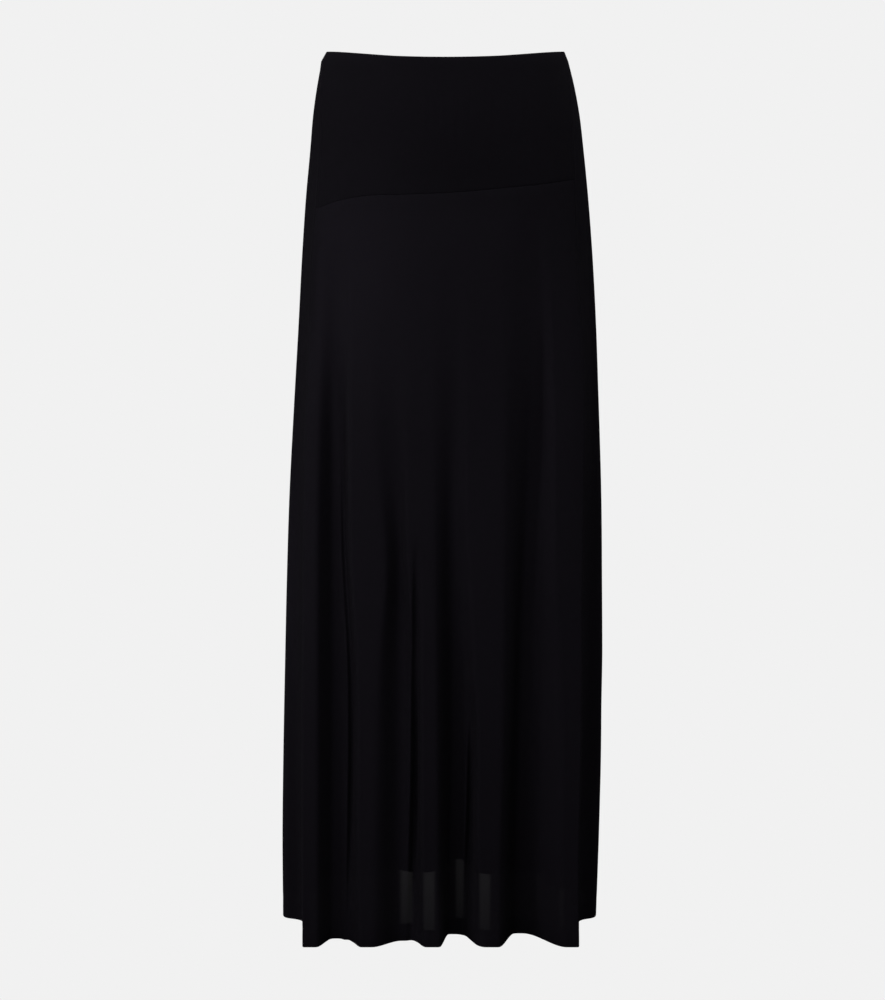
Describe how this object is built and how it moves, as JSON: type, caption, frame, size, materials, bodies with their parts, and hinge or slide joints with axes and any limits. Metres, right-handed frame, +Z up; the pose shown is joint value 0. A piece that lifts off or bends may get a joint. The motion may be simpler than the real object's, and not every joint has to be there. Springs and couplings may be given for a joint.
{
  "type": "wool skirt",
  "caption": "Long straight-hanging skirt in fine wool jersey, with a fitted front yoke and soft folds that open towards a turned-up hem.",
  "frame": {"origin": "middle of the waist opening, level with the side points of the waist's edge", "axes": "+Z up, the front of the skirt faces -Y, +X to the viewer's right"},
  "size_m": [0.3716, 0.3325, 1.0003],
  "materials": {
    "wool_jersey": "matte fine knit with a faint soft sheen"
  },
  "bodies": {
    "root": {"front_yoke": "wool_jersey", "front_skirt": "wool_jersey", "back_skirt": "wool_jersey"}
  },
  "joints": []
}
